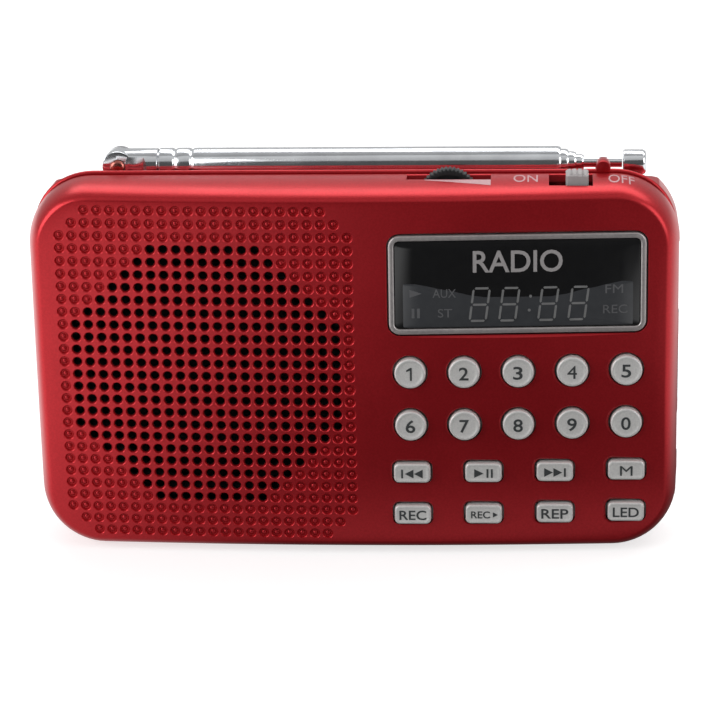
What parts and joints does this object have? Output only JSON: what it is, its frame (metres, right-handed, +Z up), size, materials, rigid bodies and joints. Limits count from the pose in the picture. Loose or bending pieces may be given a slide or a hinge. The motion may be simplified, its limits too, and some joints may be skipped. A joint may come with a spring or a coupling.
{
  "type": "transistor pocket radio",
  "caption": "Pocket radio with perforated speaker grille, digit keypad, segment display, thumbwheel volume, slide power switch and telescopic antenna.",
  "frame": {"origin": "middle of the base under the whole radio's box, on the surface it stands on", "axes": "+X to the radio's right-hand side seen from the front, along its length; +Y from the front face to the back; +Z up"},
  "size_m": [0.1194, 0.0228, 0.0743],
  "materials": {
    "casing_red": "candy red metallic lacquer on moulded ABS, glossy",
    "key_silver": "satin silver paint on moulded plastic",
    "bezel_silver": "satin silver",
    "window_black": "smoked acrylic, polished",
    "display_grey": "moulded segment display",
    "keypad_rubber": "silicone sheet",
    "board_green": "solder resist over glass fibre board",
    "pressed_steel": "zinc plated pressed steel",
    "cone_paper": "black pressed paper",
    "ferrite": "sintered ferrite with steel pole piece",
    "battery_wrap": "printed shrink sleeve",
    "contact_brass": "gold flashed spring contacts in a block",
    "black_plastic": "black moulded plastic",
    "socket_steel": "nickel plated steel shell",
    "screw_steel": "nickel plated steel",
    "antenna_chrome": "polished chrome plate",
    "lens_clear": "clear moulded lens",
    "led_clear": "clear epoxy",
    "wire_red": "insulated stranded wire",
    "wire_black": "insulated stranded wire"
  },
  "bodies": {
    "casing": {"front_shell": "casing_red", "rear_shell": "casing_red", "display_bezel": "bezel_silver", "display_window": "window_black", "usb_socket": "socket_steel", "card_socket": "socket_steel", "charge_socket": "socket_steel", "earphone_jack": "black_plastic", "antenna_bracket": "screw_steel", "antenna_pivot_pin": "screw_steel", "torch_lens": "lens_clear", "case_screw_1": "screw_steel", "case_screw_2": "screw_steel", "case_screw_3": "screw_steel", "case_screw_4": "screw_steel", "led_display": "display_grey", "keypad_membrane": "keypad_rubber", "main_board": "board_green", "speaker_frame": "pressed_steel", "speaker_cone": "cone_paper", "speaker_magnet": "ferrite", "battery": "battery_wrap", "battery_terminals": "contact_brass", "volume_pot": "black_plastic", "power_switch": "pressed_steel", "torch_led": "led_clear", "speaker_lead": "wire_red", "antenna_lead": "wire_black", "board_screw_1": "screw_steel", "board_screw_2": "screw_steel"},
    "key_1_body": {"key_1": "key_silver"},
    "key_2_body": {"key_2": "key_silver"},
    "key_3_body": {"key_3": "key_silver"},
    "key_4_body": {"key_4": "key_silver"},
    "key_5_body": {"key_5": "key_silver"},
    "key_6_body": {"key_6": "key_silver"},
    "key_7_body": {"key_7": "key_silver"},
    "key_8_body": {"key_8": "key_silver"},
    "key_9_body": {"key_9": "key_silver"},
    "key_0_body": {"key_0": "key_silver"},
    "key_previous_body": {"key_previous": "key_silver"},
    "key_play_body": {"key_play": "key_silver"},
    "key_next_body": {"key_next": "key_silver"},
    "key_mode_body": {"key_mode": "key_silver"},
    "key_record_body": {"key_record": "key_silver"},
    "key_record_play_body": {"key_record_play": "key_silver"},
    "key_repeat_body": {"key_repeat": "key_silver"},
    "key_light_body": {"key_light": "key_silver"},
    "cover": {"battery_cover": "casing_red"},
    "wheel": {"volume_wheel": "black_plastic"},
    "slider": {"power_slider": "key_silver"},
    "antenna_mast": {"antenna_base": "antenna_chrome", "antenna_tube_1": "antenna_chrome"},
    "antenna_stage_2": {"antenna_tube_2": "antenna_chrome"},
    "antenna_stage_3": {"antenna_tube_3": "antenna_chrome"},
    "antenna_stage_4": {"antenna_tube_4": "antenna_chrome"},
    "antenna_whip": {"antenna_rod": "antenna_chrome", "antenna_tip": "antenna_chrome"}
  },
  "joints": [
    {"name": "key_1_press", "type": "slide", "parent": "casing", "child": "key_1_body", "axis": [0, 1, 0], "range_m": [0, 0.0005], "stiffness_N_per_m": 800, "springref_m": -0.0005},
    {"name": "key_2_press", "type": "slide", "parent": "casing", "child": "key_2_body", "axis": [0, 1, 0], "range_m": [0, 0.0005], "stiffness_N_per_m": 800, "springref_m": -0.0005},
    {"name": "key_3_press", "type": "slide", "parent": "casing", "child": "key_3_body", "axis": [0, 1, 0], "range_m": [0, 0.0005], "stiffness_N_per_m": 800, "springref_m": -0.0005},
    {"name": "key_4_press", "type": "slide", "parent": "casing", "child": "key_4_body", "axis": [0, 1, 0], "range_m": [0, 0.0005], "stiffness_N_per_m": 800, "springref_m": -0.0005},
    {"name": "key_5_press", "type": "slide", "parent": "casing", "child": "key_5_body", "axis": [0, 1, 0], "range_m": [0, 0.0005], "stiffness_N_per_m": 800, "springref_m": -0.0005},
    {"name": "key_6_press", "type": "slide", "parent": "casing", "child": "key_6_body", "axis": [0, 1, 0], "range_m": [0, 0.0005], "stiffness_N_per_m": 800, "springref_m": -0.0005},
    {"name": "key_7_press", "type": "slide", "parent": "casing", "child": "key_7_body", "axis": [0, 1, 0], "range_m": [0, 0.0005], "stiffness_N_per_m": 800, "springref_m": -0.0005},
    {"name": "key_8_press", "type": "slide", "parent": "casing", "child": "key_8_body", "axis": [0, 1, 0], "range_m": [0, 0.0005], "stiffness_N_per_m": 800, "springref_m": -0.0005},
    {"name": "key_9_press", "type": "slide", "parent": "casing", "child": "key_9_body", "axis": [0, 1, 0], "range_m": [0, 0.0005], "stiffness_N_per_m": 800, "springref_m": -0.0005},
    {"name": "key_0_press", "type": "slide", "parent": "casing", "child": "key_0_body", "axis": [0, 1, 0], "range_m": [0, 0.0005], "stiffness_N_per_m": 800, "springref_m": -0.0005},
    {"name": "key_previous_press", "type": "slide", "parent": "casing", "child": "key_previous_body", "axis": [0, 1, 0], "range_m": [0, 0.0005], "stiffness_N_per_m": 800, "springref_m": -0.0005},
    {"name": "key_play_press", "type": "slide", "parent": "casing", "child": "key_play_body", "axis": [0, 1, 0], "range_m": [0, 0.0005], "stiffness_N_per_m": 800, "springref_m": -0.0005},
    {"name": "key_next_press", "type": "slide", "parent": "casing", "child": "key_next_body", "axis": [0, 1, 0], "range_m": [0, 0.0005], "stiffness_N_per_m": 800, "springref_m": -0.0005},
    {"name": "key_mode_press", "type": "slide", "parent": "casing", "child": "key_mode_body", "axis": [0, 1, 0], "range_m": [0, 0.0005], "stiffness_N_per_m": 800, "springref_m": -0.0005},
    {"name": "key_record_press", "type": "slide", "parent": "casing", "child": "key_record_body", "axis": [0, 1, 0], "range_m": [0, 0.0005], "stiffness_N_per_m": 800, "springref_m": -0.0005},
    {"name": "key_record_play_press", "type": "slide", "parent": "casing", "child": "key_record_play_body", "axis": [0, 1, 0], "range_m": [0, 0.0005], "stiffness_N_per_m": 800, "springref_m": -0.0005},
    {"name": "key_repeat_press", "type": "slide", "parent": "casing", "child": "key_repeat_body", "axis": [0, 1, 0], "range_m": [0, 0.0005], "stiffness_N_per_m": 800, "springref_m": -0.0005},
    {"name": "key_light_press", "type": "slide", "parent": "casing", "child": "key_light_body", "axis": [0, 1, 0], "range_m": [0, 0.0005], "stiffness_N_per_m": 800, "springref_m": -0.0005},
    {"name": "cover_lift", "type": "slide", "parent": "casing", "child": "cover", "axis": [0, 1, 0], "range_m": [0, 0.03]},
    {"name": "volume_turn", "type": "hinge", "parent": "casing", "child": "wheel", "pos_m": [0.0177, -0.00074, 0.0671], "axis": [0, 1, 0], "range_deg": [-135, 135]},
    {"name": "power_slide", "type": "slide", "parent": "casing", "child": "slider", "axis": [-1, 0, 0], "range_m": [0, 0.0026]},
    {"name": "antenna_swing", "type": "hinge", "parent": "casing", "child": "antenna_mast", "pos_m": [-0.0437, 0.00736, 0.0713], "axis": [0, -1, 0], "range_deg": [0, 180]},
    {"name": "antenna_extend_1", "type": "slide", "parent": "antenna_mast", "child": "antenna_stage_2", "axis": [1, 0, 0], "range_m": [0, 0.059]},
    {"name": "antenna_extend_2", "type": "slide", "parent": "antenna_stage_2", "child": "antenna_stage_3", "axis": [1, 0, 0], "range_m": [0, 0.06]},
    {"name": "antenna_extend_3", "type": "slide", "parent": "antenna_stage_3", "child": "antenna_stage_4", "axis": [1, 0, 0], "range_m": [0, 0.061]},
    {"name": "antenna_extend_4", "type": "slide", "parent": "antenna_stage_4", "child": "antenna_whip", "axis": [1, 0, 0], "range_m": [0, 0.062]}
  ]
}
